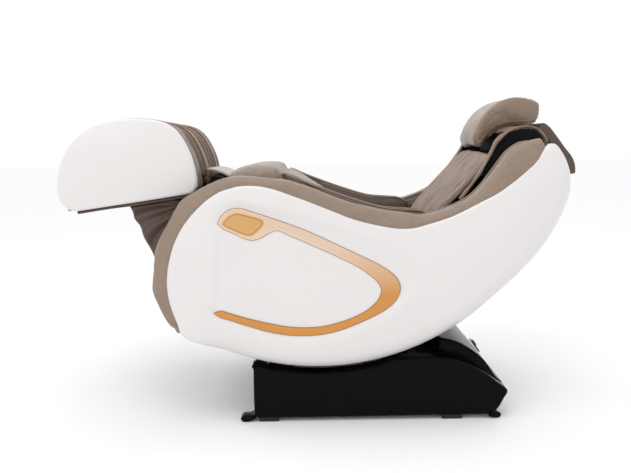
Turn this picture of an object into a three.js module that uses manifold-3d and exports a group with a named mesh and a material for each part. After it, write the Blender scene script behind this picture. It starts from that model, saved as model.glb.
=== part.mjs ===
// Reclined massage chair on a swing base, in millimetres, +Z up.
//
// The chair faces -X and its sitter's left hand is at -Y. The origin is on the floor, under the
// middle of the chair's bounding box. The chair is shown fully reclined with its leg rest raised.
//
// The upholstered tub swings on two arc rails, which run on four rollers in the base. The leg rest
// hinges at the front of the tub. A massage carriage slides behind the back pad.

import * as THREE from "three";
import * as BufferGeometryUtils from "three/addons/utils/BufferGeometryUtils.js";
import Module from "manifold-3d";

const wasm = await Module();
wasm.setup();

// Driving dimensions --------------------------------------------------------------------------

const GAP = 0.4; // clearance between touching pieces
const SWING = new THREE.Vector2(-20, 914); // centre that the tub swings about, in X and Z
const SHELL_R = 745; // radius of the tub's underside about SWING
const RAIL_R = 752; // running surface of the arc rails
const BASE_R = 762; // the base stays outside this radius
const WALL = 5; // moulded panel thickness

const SHELL_Y = 340; // outer face of the side shells
const SHELL_INNER_Y = 232; // where the side shells end on the underside
const ROLL_Y = [266, 328]; // armrest rolls, inner and outer side
const HIP_Y = [208, 262]; // pads inside the armrests
const CUSHION_Y = 204; // half width of the seat cushion
const BACK_Y = 185; // half width of the back pad
const PILLOW_Y = 100; // half width of the headrest pillow

const CALF_Y = 240; // half width of the leg rest over its covers
const CALF_WALL_Y = [152, 221]; // outer padded walls of the leg rest
const CALF_CENTRE_Y = 47; // half width of its middle wall
const HINGE = new THREE.Vector2(-362, 690); // leg rest hinge, in X and Z
const HINGE_R = 10;

const BASE_Y = 290; // outer face of the base covers
const BASE_INNER_Y = 240; // inner edge of the base covers
const BASE_BOTTOM = 13; // underside of the covers and frame, on top of the feet
const RAIL_Y = [198, 206]; // side plates of the seat frame
const ROLLER_R = 22;
const ROLLER_ANGLES = { front: 262, rear: 286 }; // places on the arc, degrees about SWING
const ACTUATOR = { y: 168, z: 130, rod: 9, housing: 20 };

const BACK_ANGLE = THREE.MathUtils.degToRad(46); // slope of the backrest
const UP = new THREE.Vector2(Math.cos(BACK_ANGLE), Math.sin(BACK_ANGLE));
const AWAY = new THREE.Vector2(Math.sin(BACK_ANGLE), -Math.cos(BACK_ANGLE));
const CARRIAGE = new THREE.Vector2(468, 645); // middle of the massage carriage, in X and Z
const BACK_RAIL = { y: 82, radius: 8, half: 190, away: 19 };
const CROSS_TO_CARRIAGE = 205; // from the carriage to each cross tube at the rails' ends

function alongBack(distance, away = 0) {
  return CARRIAGE.clone().addScaledVector(UP, distance).addScaledVector(AWAY, away);
}

// Colours and finishes ------------------------------------------------------------------------

const FINISHES = {
  white_shell: { color: 0xf2efed, roughness: 0.25, metalness: 0 },
  black_gloss: { color: 0x15110f, roughness: 0.2, metalness: 0 },
  tan_leather: { color: 0xa08c7c, roughness: 0.5, metalness: 0 },
  brown_leather: { color: 0x87705c, roughness: 0.55, metalness: 0 },
  dark_leather: { color: 0x5e4c42, roughness: 0.6, metalness: 0 },
  black_fabric: { color: 0x131416, roughness: 0.95, metalness: 0 },
  gold_trim: { color: 0xd89a5c, roughness: 0.3, metalness: 0.9 },
  painted_steel: { color: 0x3a3c3f, roughness: 0.5, metalness: 0.6 },
  bright_steel: { color: 0xb9bcc0, roughness: 0.3, metalness: 1 },
  grey_plastic: { color: 0x55585c, roughness: 0.6, metalness: 0 },
  rubber: { color: 0x1c1c1c, roughness: 0.9, metalness: 0 },
};

const chair = new THREE.Group();

function add(name, geometry, finish, mirrored = false) {
  const mesh = new THREE.Mesh(geometry, new THREE.MeshStandardMaterial(FINISHES[finish]));
  mesh.name = name;
  mesh.scale.y = mirrored ? -1 : 1;
  chair.add(mesh);
  return mesh;
}

// A left piece is made at -Y, and its mirror image is the right one.
function addPair(name, geometry, finish) {
  add(`${name}_left`, geometry, finish);
  add(`${name}_right`, geometry, finish, true);
}

// Outlines in the XZ plane --------------------------------------------------------------------
// An edge is a list of points that leaves out its last one, so edges join end to end.

function spline(points, count) {
  const curve = new THREE.SplineCurve(points.map(([x, z]) => new THREE.Vector2(x, z)));
  return curve.getSpacedPoints(count).slice(0, -1);
}

// A path that stays open keeps both of its ends.
function path(points, count) {
  const curve = new THREE.SplineCurve(points.map(([x, z]) => new THREE.Vector2(x, z)));
  return curve.getSpacedPoints(count);
}

function arc(centre, radius, fromDegrees, toDegrees, count) {
  const from = THREE.MathUtils.degToRad(fromDegrees);
  const to = THREE.MathUtils.degToRad(toDegrees);
  const curve = new THREE.EllipseCurve(centre.x, centre.y, radius, radius, from, to, to < from);
  return curve.getSpacedPoints(count).slice(0, -1);
}

function straight(points) {
  return points.map(([x, z]) => new THREE.Vector2(x, z));
}

function onArc(radius, degrees) {
  const angle = THREE.MathUtils.degToRad(degrees);
  return [SWING.x + radius * Math.cos(angle), SWING.y + radius * Math.sin(angle)];
}

// Moves the corners of an outline inwards. An amount may be one number or one for each corner.
function inset(outline, amount) {
  const turn = THREE.ShapeUtils.isClockWise(outline) ? -1 : 1;
  return outline.map((point, i) => {
    const before = outline[(i + outline.length - 1) % outline.length];
    const after = outline[(i + 1) % outline.length];
    const along = after.clone().sub(before).normalize();
    const distance = Array.isArray(amount) ? amount[i] : amount;
    const inwards = new THREE.Vector2(-along.y, along.x).multiplyScalar(turn * distance);
    return point.clone().add(inwards);
  });
}

// Moves the points of an open edge sideways, to the left of its direction when positive.
function shifted(edge, distance) {
  return edge.map((point, i) => {
    const before = edge[Math.max(i - 1, 0)];
    const after = edge[Math.min(i + 1, edge.length - 1)];
    const along = after.clone().sub(before).normalize();
    return point.clone().add(new THREE.Vector2(-along.y, along.x).multiplyScalar(distance));
  });
}

// A strip of even thickness on the right-hand side of a path.
function strip(path, thickness) {
  return [...path, ...shifted(path, -thickness).reverse()];
}

// Solids --------------------------------------------------------------------------------------

function ring(outline, y) {
  return outline.map((point, i) => {
    const place = Array.isArray(y) ? y[i] : y;
    return new THREE.Vector3(point.x, place, point.y);
  });
}

// A closed skin through rings with the same number of corners. Its two end rings are flat.
function loft(rings) {
  const count = rings[0].length;
  const index = [];
  for (let r = 0; r < rings.length - 1; r += 1) {
    for (let i = 0; i < count; i += 1) {
      const a = r * count + i;
      const b = r * count + ((i + 1) % count);
      index.push(a, b + count, b, a, a + count, b + count);
    }
  }
  const flat = (corners) => corners.map((p) => new THREE.Vector2(p.x, p.z));
  const clockwise = THREE.ShapeUtils.isClockWise(flat(rings[0]));
  const last = (rings.length - 1) * count;
  for (const [corners, start, atEnd] of [[rings[0], 0, false], [rings.at(-1), last, true]]) {
    for (const [a, b, c] of THREE.ShapeUtils.triangulateShape(flat(corners), [])) {
      const face = [start + a, start + b, start + c];
      index.push(...(atEnd !== clockwise ? face.reverse() : face));
    }
  }
  const points = rings.flat();
  const geometry = new THREE.BufferGeometry().setFromPoints(points);
  geometry.setIndex(index);
  if (signedVolume(points, index) < 0) {
    geometry.setIndex(index.reverse());
  }
  return geometry;
}

function signedVolume(points, index) {
  let volume = 0;
  for (let i = 0; i < index.length; i += 3) {
    const [a, b, c] = [points[index[i]], points[index[i + 1]], points[index[i + 2]]];
    volume += a.dot(b.clone().cross(c)) / 6;
  }
  return volume;
}

// An outline carried along Y through levels, each a place in Y and how far it is inset there.
function slab(outline, levels) {
  return loft(levels.map(([y, amount]) => ring(amount ? inset(outline, amount) : outline, y)));
}

// A padded block between two places in Y, with its edges drawn in.
function padded(outline, [from, to], softness) {
  const round = Math.min(softness, (to - from) / 3);
  const levels = [[from, softness], [from + round, 0], [to - round, 0], [to, softness]];
  return slab(outline, levels);
}

function plate(outline, from, to) {
  return slab(outline, [[from, 0], [to, 0]]);
}

function block([x0, x1], [y0, y1], [z0, z1]) {
  const geometry = new THREE.BoxGeometry(x1 - x0, y1 - y0, z1 - z0);
  return geometry.translate((x0 + x1) / 2, (y0 + y1) / 2, (z0 + z1) / 2);
}

// A rod or tube along Y about a point in X and Z.
function barrelY([x, z], radius, [from, to], sides = 16) {
  const geometry = new THREE.CylinderGeometry(radius, radius, to - from, sides);
  return geometry.translate(x, (from + to) / 2, z);
}

function barrelX([y, z], radius, [from, to], sides = 16) {
  const geometry = new THREE.CylinderGeometry(radius, radius, to - from, sides);
  return geometry.rotateZ(Math.PI / 2).translate((from + to) / 2, y, z);
}

// Joining and cutting -------------------------------------------------------------------------

function toSolid(geometry) {
  const bare = geometry.clone();
  bare.deleteAttribute("normal");
  bare.deleteAttribute("uv");
  const merged = BufferGeometryUtils.mergeVertices(bare, 1e-4);
  const vertProperties = new Float32Array(merged.attributes.position.array);
  const triVerts = new Uint32Array(merged.index.array);
  return new wasm.Manifold(new wasm.Mesh({ numProp: 3, vertProperties, triVerts }));
}

function toGeometry(solid) {
  const mesh = solid.getMesh();
  const geometry = new THREE.BufferGeometry();
  geometry.setAttribute("position", new THREE.BufferAttribute(mesh.vertProperties, 3));
  geometry.setIndex(new THREE.BufferAttribute(mesh.triVerts, 1));
  return geometry;
}

function joined(geometries) {
  return toGeometry(geometries.map(toSolid).reduce((all, next) => all.add(next)));
}

function cut(geometry, tools) {
  const start = toSolid(geometry);
  return toGeometry(tools.map(toSolid).reduce((left, tool) => left.subtract(tool), start));
}

// Side shells and armrest rolls ---------------------------------------------------------------

const UNDERSIDE = arc(SWING, SHELL_R, 237.5, 314, 16);
const REAR_EDGE = spline(
  [onArc(SHELL_R, 314), [582, 457], [654, 547], [703, 647], [711, 705], [694, 763], [653, 821]],
  10,
);
const REAR_TIP = straight([[653, 821], [641, 826]]);
const TOP_EDGE_POINTS = [
  [626, 825], [568, 755], [517, 712], [442, 668], [367, 631], [290, 605], [214, 595], [97, 620],
  [-53, 679], [-154, 715], [-226, 723], [-298, 707], [-373, 652], [-432, 565], [-459, 460],
  [-452, 377], onArc(SHELL_R, 237.5),
];
const TOP_EDGE = spline(TOP_EDGE_POINTS, 34);
const SHELL_OUTLINE = [...UNDERSIDE, ...REAR_EDGE, ...REAR_TIP, ...TOP_EDGE];

// The rim is deep on the underside and rear, and shallow where the roll fills the opening.
function sideShell() {
  const deepCorners = UNDERSIDE.length + REAR_EDGE.length;
  const rim = SHELL_OUTLINE.map((point, i) => (i > 0 && i < deepCorners ? -SHELL_INNER_Y : -330));
  const inner = (i) => (rim[i] === -330 ? 2 : WALL);
  const wall = SHELL_OUTLINE.map((point, i) => inner(i));
  return loft([
    ring(inset(SHELL_OUTLINE, 14), -(SHELL_Y - WALL)),
    ring(inset(SHELL_OUTLINE, wall), rim),
    ring(SHELL_OUTLINE, rim),
    ring(SHELL_OUTLINE, -(SHELL_Y - 8)),
    ring(inset(SHELL_OUTLINE, 8), -SHELL_Y),
  ]);
}
addPair("side_shell", sideShell(), "white_shell");

const ROLL_EDGE = spline(
  [
    [-424, 290], [-469, 323], [-503, 408], [-505, 455], [-484, 561], [-422, 668], [-384, 700],
    [-302, 740], [-228, 748], [-155, 741], [-91, 731], [37, 682], [110, 658], [218, 638],
    [284, 630], [345, 646], [411, 675], [456, 717], [501, 778], [542, 824], [599, 841],
    [634, 829],
  ],
  40,
);
const ROLL_TUCK = 30; // how far the roll reaches in behind the shell's edge

function armrestRoll() {
  const hidden = shifted(TOP_EDGE, ROLL_TUCK).slice(1, -1);
  const outline = [...ROLL_EDGE, ...hidden];
  const [inner, outer] = ROLL_Y;
  return slab(outline, [[-outer, 10], [-outer + 12, 1], [-inner - 12, 0], [-inner, 9]]);
}
addPair("armrest_roll", armrestRoll(), "brown_leather");

// Underside, rear and front panels of the tub -------------------------------------------------

add(
  "bottom_cover",
  plate(strip(arc(SWING, SHELL_R, 296, 239, 16), WALL), -150, 150),
  "white_shell",
);

const REAR_TOP = path(
  [[650, 822], [694, 763], [711, 705], [703, 647], [654, 547], [582, 457], onArc(SHELL_R, 314)],
  12,
);
const REAR_PATH = [...REAR_TOP, ...arc(SWING, SHELL_R, 311, 297, 5)];
const REAR_HALF = SHELL_INNER_Y - GAP;
add("rear_cover", plate(strip(REAR_PATH, WALL), -REAR_HALF, REAR_HALF), "white_shell");

const FRONT_PATH = path([[-404, 306], [-440, 370], [-453, 455], [-433, 550], [-392, 640]], 8);
add("front_panel", plate(strip(FRONT_PATH, 8), -238, 238), "dark_leather");

// Steel frame of the tub: two arc plates, their cross tubes, hinge eyes and the drive bracket ---

const CROSS_FRONT = [-330, 560];
const CROSS_BOTTOM = onArc(712, 262);
const BRACKET_FOOT = onArc(SWING.y - ACTUATOR.z, 262);
const STRUT = straight([[328, 484], [352, 492], [448, 392], [410, 350]]);
const EYE_Y = [243, 249];

function framePlate() {
  return [
    ...arc(SWING, RAIL_R, 242, 296, 14),
    ...arc(SWING, 733, 298, 340, 10),
    ...straight([[645, 786], [612, 776]]),
    ...arc(SWING, 688, 336, 298, 8),
    ...arc(SWING, 700, 296, 250, 8),
    ...straight([[-312, 545], [-314, 574], [-348, 574], [-352, 545]]),
  ];
}

function hingeEye(side) {
  const [inner, outer] = EYE_Y.map((y) => side * y).sort((a, b) => a - b);
  const arm = straight([[-349, 556], [-311, 556], [-344, 686], [-380, 686]]);
  const eye = joined([plate(arm, inner, outer), barrelY(HINGE.toArray(), 18, [inner, outer], 20)]);
  return cut(eye, [barrelY(HINGE.toArray(), HINGE_R + 0.5, [inner - 1, outer + 1], 24)]);
}

function seatFrame() {
  const [inner, outer] = RAIL_Y;
  const bracket = [[-15, 96], [15, 96], [15, -24], [-15, -24]];
  const [footX, footZ] = BRACKET_FOOT;
  const hanger = straight(bracket.map(([x, z]) => [footX + x, footZ + z]));
  const frame = joined([
    plate(framePlate(), -outer, -inner),
    plate(framePlate(), inner, outer),
    barrelY(CROSS_FRONT, 14, [-EYE_Y[1], EYE_Y[1]], 12),
    barrelY(CROSS_BOTTOM, 12, [-inner - 1, inner + 1], 12),
    ...[-CROSS_TO_CARRIAGE, CROSS_TO_CARRIAGE].map((distance) => {
      const centre = alongBack(distance, BACK_RAIL.away).toArray();
      return barrelY(centre, 14, [-inner - 1, inner + 1], 12);
    }),
    plate(STRUT, -outer, -inner),
    plate(STRUT, inner, outer),
    plate(hanger, ACTUATOR.y + 10, ACTUATOR.y + 16),
    hingeEye(-1),
    hingeEye(1),
  ]);
  const slot = block([footX - 8, footX + 8], [ACTUATOR.y, ACTUATOR.y + 30], [footZ - 15, footZ + 10]);
  return cut(frame, [slot]);
}
add("seat_frame", seatFrame(), "painted_steel");

// Seat: pan, cushion, knee cushion, inner side pads -------------------------------------------

const SEAT_TOP = spline(
  [[-120, 757], [-20, 694], [80, 622], [165, 562], [235, 536], [290, 548]],
  14,
);
const SEAT_BOTTOM = straight([[290, 500], [240, 484], [165, 505], [80, 562], [-20, 636], [-120, 702]]);
add(
  "seat_cushion",
  padded([...SEAT_TOP, ...SEAT_BOTTOM], [-CUSHION_Y, CUSHION_Y], 12),
  "tan_leather",
);
const PAN_PATH = straight([[-250, 684], [-124, 690], [-24, 624], [78, 549], [165, 492], [240, 471]]);
add("seat_pan", plate(strip(PAN_PATH, 10), -190, 190), "black_gloss");

const KNEE_TOP = spline(
  [[-286, 738], [-276, 756], [-246, 767], [-200, 775], [-157, 773], [-126, 762]],
  9,
);
const KNEE_OUTLINE = [...KNEE_TOP, ...straight([[-126, 700], [-200, 692], [-268, 698], [-284, 714]])];
add("knee_cushion", padded(KNEE_OUTLINE, [-252, 252], 9), "tan_leather");

const HIP_TOP = spline(
  [[-118, 752], [-36, 718], [60, 682], [160, 650], [221, 642], [284, 636], [320, 618], [340, 594]],
  14,
);
const HIP_BOTTOM = straight([[330, 560], [250, 505], [170, 520], [80, 576], [-20, 648], [-118, 706]]);
function hipPad() {
  const [inner, outer] = HIP_Y;
  return padded([...HIP_TOP, ...HIP_BOTTOM], [-outer, -inner], 7);
}
addPair("hip_pad", hipPad(), "dark_leather");

// A leather tongue bridges the gap to the leg rest, over a pleated fabric strip.
const TONGUE_PATH = path([[-289, 742], [-320, 757], [-345, 765], [-366, 768]], 5);
add("knee_tongue", plate(strip(TONGUE_PATH, -8), -116, 116), "tan_leather");
const BELLOWS = straight([[-291, 720], [-291, 728], [-320, 740], [-350, 748], [-352, 716], [-318, 702]]);
add("knee_bellows", plate(BELLOWS, -150, 150), "black_fabric");

// Back: panel, pad, cover sheet, headrest -----------------------------------------------------

const PANEL_PATH = straight([[624, 830], [552, 778], [350, 567]]);
const PANEL_SLOT = 78; // half width of the slot that the massage balls work through

function backPanel() {
  const board = plate(strip(PANEL_PATH, -12), -262, 262);
  const corners = [[-200, -5], [-200, -50], [150, -50], [150, -5]];
  const slotOutline = corners.map(([distance, away]) => alongBack(distance, away));
  return cut(board, [plate(slotOutline, -PANEL_SLOT, PANEL_SLOT)]);
}
add("back_panel", backPanel(), "black_fabric");

// The pad is crowned: its front face falls back towards its long edges.
const PAD_FRONT = spline([[300, 592], [312, 615], [351, 665], [393, 710], [435, 754], [487, 802]], 12);
const PAD_BACK = straight([[514, 776], [480, 742], [420, 678], [360, 614], [324, 574]]);

function padRing(y, fall) {
  const front = PAD_FRONT.map((point) => point.clone().addScaledVector(AWAY, fall));
  return ring([...front, ...PAD_BACK], y);
}
add(
  "back_pad",
  loft([
    padRing(-BACK_Y, 26), padRing(-150, 15), padRing(-80, 3), padRing(0, 0),
    padRing(80, 3), padRing(150, 15), padRing(BACK_Y, 26),
  ]),
  "tan_leather",
);

const COVER_TOP = path(
  [[547, 867], [557, 873], [580, 881], [607, 882], [635, 876], [656, 857], [672, 834]],
  10,
);
const COVER_SIDE = path(
  [[408, 666], [462, 738], [492, 790], [509, 829], [530, 854], [557, 873], [580, 881]],
  10,
);
const COVER_Y = 216;
const COVER_STRIP_Y = 190;

function backCover() {
  return joined([
    plate(strip(COVER_TOP, 7), -COVER_Y, COVER_Y),
    plate(strip(COVER_SIDE, 7), -COVER_Y, -COVER_STRIP_Y),
    plate(strip(COVER_SIDE, 7), COVER_STRIP_Y, COVER_Y),
  ]);
}
add("back_cover", backCover(), "brown_leather");

const PILLOW_OUTLINE = spline(
  [
    [477, 848], [480, 833], [491, 817], [500, 814], [511, 832], [533, 862], [563, 879],
    [598, 887], [640, 888], [678, 895], [685, 918], [689, 944], [682, 955], [655, 966],
    [610, 971], [568, 960], [533, 939], [509, 913], [489, 880], [477, 848],
  ],
  28,
);
function pillow() {
  const half = PILLOW_Y;
  const levels = [[-half, 14], [-half + 8, 5], [-half + 22, 0], [half - 22, 0], [half - 8, 5]];
  return slab(PILLOW_OUTLINE, [...levels, [half, 14]]);
}
add("headrest_pillow", pillow(), "tan_leather");

const FLAP_PATH = path(
  [[694, 893], [708, 884], [724, 865], [754, 830], [781, 796], [797, 764], [802, 732]],
  8,
);
add("headrest_flap", plate(strip(FLAP_PATH, 29), -110, 110), "dark_leather");

// Massage mechanism behind the back pad -------------------------------------------------------

const BALL = { radius: 24, spread: 46, width: 26, height: 23, inner: 34 };
const ARM_PIVOT_R = 4;

// Turns a piece made flat, with +X up the back and -Z away from the sitter, into its place.
function placedOnBack(geometry, distance, away) {
  const place = alongBack(distance, away);
  return geometry.rotateY(-BACK_ANGLE).translate(place.x, 0, place.y);
}

const SIDES = { left: -1, right: 1 };
const span = (sign, from, to) => [sign * from, sign * to].sort((a, b) => a - b);

for (const [side, sign] of Object.entries(SIDES)) {
  const { y, radius, half } = BACK_RAIL;
  const rail = barrelX([sign * y, 0], radius, [-half, half], 10);
  add(`back_rail_${side}`, placedOnBack(rail, 0, BACK_RAIL.away), "bright_steel");
}

// The carriage carries a lug for the arms' pivots, and two bores that slide on the rails.
function carriage() {
  const body = joined([
    block([-34, 34], [-98, 98], [-34, -4]),
    block([-14, 14], [-24, 24], [-6, BALL.height + 9]),
  ]);
  const bores = Object.values(SIDES).map((sign) => {
    return barrelX([sign * BACK_RAIL.y, -BACK_RAIL.away], BACK_RAIL.radius + 0.6, [-40, 40], 12);
  });
  const pivot = barrelY([0, BALL.height], ARM_PIVOT_R + 0.7, [-30, 30], 12);
  return placedOnBack(cut(body, [...bores, pivot]), 0, 0);
}
add("massage_carriage", carriage(), "grey_plastic");

// Each arm rocks on its pivot and carries two free-turning balls.
function massageArm(sign) {
  const { spread, height, inner, width } = BALL;
  return placedOnBack(joined([
    block([-spread - 10, spread + 10], span(sign, inner - 8, inner - 1), [height - 7, height + 7]),
    barrelY([0, height], ARM_PIVOT_R, span(sign, 12, inner - 7), 10),
    barrelY([-spread, height], 4, span(sign, inner - 2, inner + width + 1), 8),
    barrelY([spread, height], 4, span(sign, inner - 2, inner + width + 1), 8),
  ]), 0, 0);
}

const BALL_BORE = 4.6;
const BALL_EDGE = 8;

function massageBall(sign, place) {
  const { radius, width, inner, height } = BALL;
  const profile = [
    [BALL_BORE, 0], [radius - BALL_EDGE, 0], [radius, BALL_EDGE], [radius, width - BALL_EDGE],
    [radius - BALL_EDGE, width], [BALL_BORE, width], [BALL_BORE, 0],
  ].map(([r, y]) => new THREE.Vector2(r, y));
  const start = sign > 0 ? inner + 0.5 : -inner - 0.5 - width;
  const ball = new THREE.LatheGeometry(profile, 14).translate(place, start, height);
  return placedOnBack(ball, 0, 0);
}

for (const [side, sign] of Object.entries(SIDES)) {
  add(`massage_arm_${side}`, massageArm(sign), "painted_steel");
  add(`massage_ball_lower_${side}`, massageBall(sign, -BALL.spread), "grey_plastic");
  add(`massage_ball_upper_${side}`, massageBall(sign, BALL.spread), "grey_plastic");
}

// Drives and electrics inside the tub ---------------------------------------------------------

add("air_pump", block([-200, -90], [-120, 0], [400, 490]), "grey_plastic");
add("control_box", block([-60, 100], [-110, 110], [250, 320]), "grey_plastic");

// The gearbox faces the end of the hinge shaft, and its motor lies beside the hinge eye.
function legMotor() {
  const face = EYE_Y[1] + 1;
  const gearbox = straight([[-386, 702], [-354, 716], [-282, 662], [-274, 634], [-302, 614]]);
  const motor = barrelY([-296, 640], 20, [face - 46, face + 5], 14);
  return joined([plate(gearbox, face, face + 11), motor]);
}
add("leg_motor", legMotor(), "painted_steel");

// Trim on the side shells ---------------------------------------------------------------------

const TRIM_OUTER = spline(
  [
    [-304, 617], [-297, 634], [-277, 652], [-250, 659], [-221, 653], [-129, 621], [-54, 592],
    [20, 557], [95, 520], [152, 491], [190, 465], [211, 440], [214, 418], [205, 391],
    [180, 364], [140, 340], [90, 317], [30, 295], [-31, 284], [-98, 284], [-165, 295],
    [-241, 319], [-293, 339], [-322, 348], [-326, 357],
  ],
  46,
);
const TRIM_INNER = spline(
  [
    [-326, 357], [-319, 366], [-293, 359], [-241, 341], [-174, 323], [-98, 309], [-21, 309], [46, 324],
    [104, 348], [142, 377], [159, 406], [157, 428], [138, 452], [95, 485], [20, 524],
    [-55, 559], [-120, 588], [-146, 596], [-172, 580], [-200, 569], [-224, 571], [-266, 592],
    [-295, 605], [-304, 617],
  ],
  40,
);
const TRIM_OUTLINE = [...TRIM_OUTER, ...TRIM_INNER];
add(
  "gold_trim_left",
  plate(TRIM_OUTLINE, -SHELL_Y - 3, -SHELL_Y - 0.3),
  "gold_trim",
);
add(
  "gold_trim_right",
  plate(TRIM_OUTLINE, -SHELL_Y - 3, -SHELL_Y - 0.3),
  "gold_trim",
  true,
);

// Leg rest ------------------------------------------------------------------------------------

const CALF_UNDERSIDE = straight([[-391, 696], [-450, 688], [-600, 667.7], [-745, 648]]);
const CALF_ROUND = spline(
  [
    [-745, 648], [-777, 662], [-792, 695], [-793, 725], [-780, 785], [-745, 845], [-682, 894],
    [-598, 915], [-549, 918], [-485, 912], [-439, 890], [-409, 850], [-388, 800], [-377, 745],
    [-376, 716], [-391, 696],
  ],
  30,
);
const CALF_OUTLINE = [...CALF_UNDERSIDE.slice(0, -1), ...CALF_ROUND];
const CALF_COVER_INNER = CALF_WALL_Y[1] + GAP;

function calfCover() {
  return loft([
    ring(inset(CALF_OUTLINE, 9), -(CALF_Y - 4)),
    ring(inset(CALF_OUTLINE, 4), -CALF_COVER_INNER),
    ring(CALF_OUTLINE, -CALF_COVER_INNER),
    ring(CALF_OUTLINE, -(CALF_Y - 5)),
    ring(inset(CALF_OUTLINE, 5), -CALF_Y),
  ]);
}
addPair("calf_cover", calfCover(), "white_shell");

const [WALL_INNER, WALL_OUTER] = CALF_WALL_Y;
const WALL_OUTLINE = inset(CALF_OUTLINE, 1);
const WALL_BASE = 40; // height of the channel floor over the underside
const SLOPE = (696 - 648) / (745 - 391);
const calfLine = (x, height) => [x, 696 + (x + 391) * SLOPE + height];

function calfWall() {
  const levels = [[-WALL_OUTER, 8], [-WALL_OUTER + 14, 0], [-WALL_INNER - 14, 0]];
  return slab(WALL_OUTLINE, [...levels, [-WALL_INNER, 8]]);
}
addPair("calf_wall", calfWall(), "brown_leather");

// The middle wall stands on the channel floor, which runs right across under it.
const FLOOR_TOP = [calfLine(-400, WALL_BASE), calfLine(-590, WALL_BASE + 6), calfLine(-765, WALL_BASE)];
const FLOOR_OUTLINE = straight([calfLine(-400, 14), ...FLOOR_TOP, calfLine(-765, 14)]);
const FLOOR_HALF = WALL_INNER - GAP;
add("calf_floor", plate(FLOOR_OUTLINE, -FLOOR_HALF, FLOOR_HALF), "dark_leather");

function calfCentreWall() {
  const half = CALF_CENTRE_Y;
  const levels = [[-half, 10], [-half + 14, 2], [half - 14, 2], [half, 10]];
  const below = straight([
    calfLine(-360, -30), calfLine(-360, WALL_BASE - 2), ...FLOOR_TOP, calfLine(-800, WALL_BASE),
    calfLine(-800, -30),
  ].map(([x, z]) => [x, z + GAP]));
  return cut(slab(WALL_OUTLINE, levels), [plate(below, -half - 1, half + 1)]);
}
add("calf_wall_centre", calfCentreWall(), "brown_leather");

const BOTTOM_PATH = straight([calfLine(-745, -1), calfLine(-396, -1)]);
add(
  "calf_bottom_panel",
  plate(strip(BOTTOM_PATH, 9), -WALL_OUTER, WALL_OUTER),
  "dark_leather",
);

// Shaft and arms of the leg rest hinge. The arms lie under the channel floors.
function legHinge() {
  const arm = straight([
    calfLine(-372, -12), calfLine(-356, 2), calfLine(-392, 13), calfLine(-620, 13),
    calfLine(-620, 0.5), calfLine(-394, 0.5),
  ]);
  const arms = [-1, 1].map((sign) => {
    return plate(arm, ...span(sign, 92, 104));
  });
  return joined([barrelY(HINGE.toArray(), HINGE_R, [-EYE_Y[1], EYE_Y[1]]), ...arms]);
}
add("leg_hinge", legHinge(), "painted_steel");

const GUSSET_OUTLINE = straight([
  calfLine(-593, -11), [-549, 556], [-521, 488], [-478, 425], [-457, 430], [-458, 455],
  [-438, 550], [-402, 640], calfLine(-400, -11),
]);
add("leg_gusset", plate(GUSSET_OUTLINE, -212, 212), "dark_leather");

// Base ----------------------------------------------------------------------------------------

const COVER_OUTLINE = [
  ...arc(SWING, BASE_R, 254.6, 287, 10),
  ...straight([[205, 190], [319, 195], [400, 182], [470, 150], [520, 112], [548, 88]]),
  ...straight([[537, 62], [519, 30], [495, BASE_BOTTOM + 2], [470, BASE_BOTTOM]]),
  ...straight([[-206, BASE_BOTTOM], [-222, 27], [-222, 168]]),
];

function baseCover() {
  return loft([
    ring(inset(COVER_OUTLINE, 7), -(BASE_Y - 4)),
    ring(inset(COVER_OUTLINE, 4), -BASE_INNER_Y),
    ring(COVER_OUTLINE, -BASE_INNER_Y),
    ring(COVER_OUTLINE, -(BASE_Y - 6)),
    ring(inset(COVER_OUTLINE, 6), -BASE_Y),
  ]);
}
addPair("base_cover", baseCover(), "black_gloss");

const BASE_HALF = BASE_INNER_Y - GAP;
const HOOD_PATH = spline(
  [[345, 244], [404, 228], [460, 193], [493, 160], [522, 117], [548, 88], [530, 44], [495, 17]],
  14,
);
add("base_rear_hood", plate(strip(HOOD_PATH, 5), -BASE_HALF, BASE_HALF), "black_gloss");
add(
  "base_front_cover",
  block([-222, -216], [-BASE_HALF, BASE_HALF], [27, 168]),
  "black_gloss",
);

const BEAM_Y = [216, 236];
const ROLLER_AXLE = RAIL_R + GAP + ROLLER_R;

function baseFrame() {
  const [inner, outer] = BEAM_Y;
  const parts = [
    block([-206, -170], [-outer, outer], [BASE_BOTTOM + 1, 50]),
    block([400, 440], [-outer, outer], [BASE_BOTTOM + 1, 50]),
    block([300, 330], [-outer, outer], [50, 90]),
  ];
  for (const sign of [-1, 1]) {
    parts.push(block([-206, 440], span(sign, inner, outer), [BASE_BOTTOM + 1, 60]));
    parts.push(block([290, 340], span(sign, inner, outer), [55, 90]));
    for (const angle of Object.values(ROLLER_ANGLES)) {
      const [x, z] = onArc(ROLLER_AXLE, angle);
      parts.push(block([x - 14, x + 14], span(sign, inner, inner + 5), [50, z + 8]));
      parts.push(barrelY([x, z], 5, span(sign, 192, inner + 1), 10));
    }
  }
  return joined(parts);
}
add("base_frame", baseFrame(), "painted_steel");

for (const [end, angle] of Object.entries(ROLLER_ANGLES)) {
  const [x, z] = onArc(ROLLER_AXLE, angle);
  const roller = cut(barrelY([x, z], ROLLER_R, [-214, -192], 24), [
    barrelY([x, z], 5.6, [-216, -190], 14),
  ]);
  addPair(`swing_roller_${end}`, roller, "rubber");
}

const FOOT_X = { front: [-208, -149], rear: [352, 411] };
for (const [end, span] of Object.entries(FOOT_X)) {
  addPair(`foot_${end}`, block(span, [-286, -222], [0, BASE_BOTTOM - GAP]), "rubber");
}

// Linear actuator that swings the tub ---------------------------------------------------------

const HOUSING_X = [128, 299];
const rodX = [BRACKET_FOOT[0] - 6, 150];

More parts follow.
